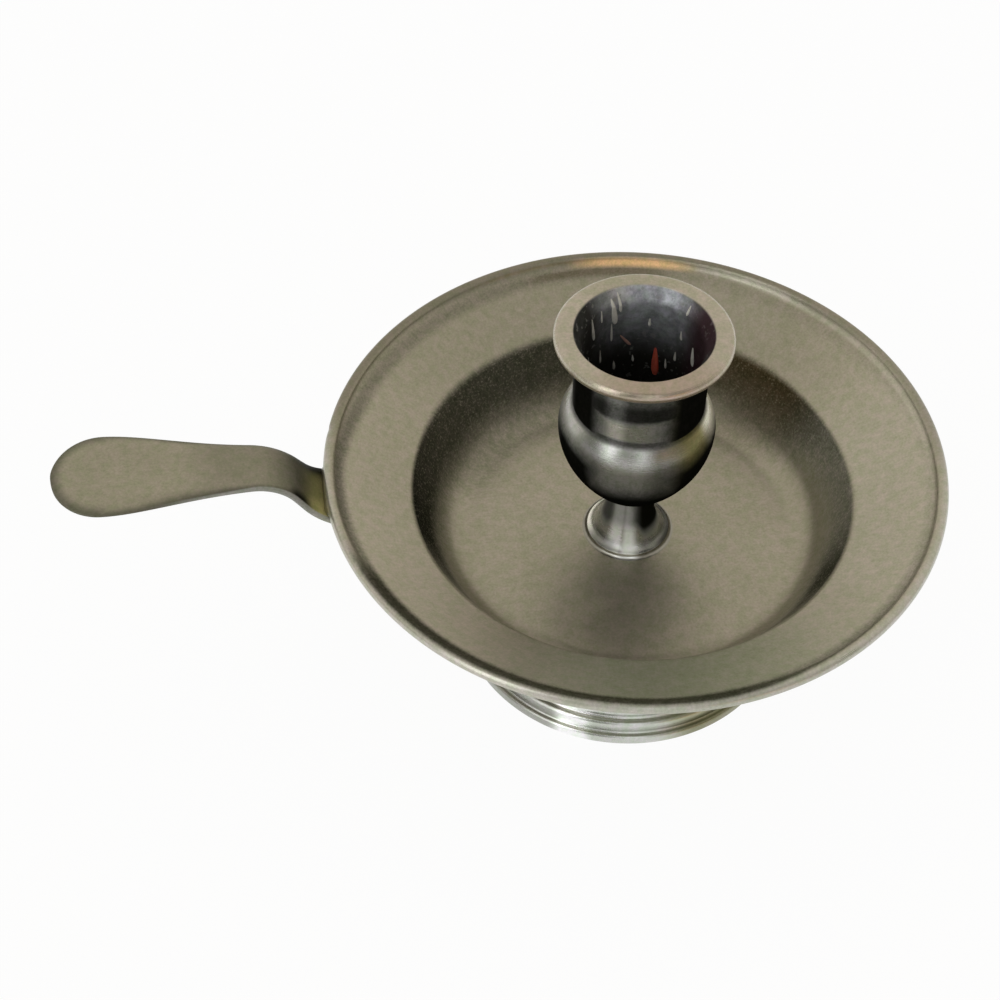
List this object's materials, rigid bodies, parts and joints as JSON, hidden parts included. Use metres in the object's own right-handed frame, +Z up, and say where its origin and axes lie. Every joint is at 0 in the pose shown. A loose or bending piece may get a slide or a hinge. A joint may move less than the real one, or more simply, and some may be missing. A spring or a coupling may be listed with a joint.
{
  "type": "chamberstick",
  "caption": "Pewter chamberstick: a dished drip pan on a stepped hollow foot, a turned candle socket on a trumpet stem, and a spoon-shaped handle under the brim.",
  "frame": {"origin": "centre of the foot's rim, on the table", "axes": "+Z up along the socket's axis, the handle points along -X"},
  "size_m": [0.1719, 0.122, 0.0825],
  "materials": {
    "pan_pewter": "satin turned pewter, warm grey with an olive cast",
    "foot_pewter": "bright turned pewter",
    "stem_pewter": "polished turned pewter",
    "socket_pewter": "polished turned pewter, sooty inside the bore",
    "handle_pewter": "satin filed pewter",
    "solder": "soft solder, wiped smooth",
    "wax": "specks of old candle wax"
  },
  "bodies": {
    "root": {"drip_pan": "pan_pewter", "foot": "foot_pewter", "socket_stem": "stem_pewter", "candle_socket": "socket_pewter", "handle": "handle_pewter", "stem_solder": "solder", "socket_solder": "solder", "foot_solder": "solder", "handle_solder": "solder"}
  },
  "joints": []
}
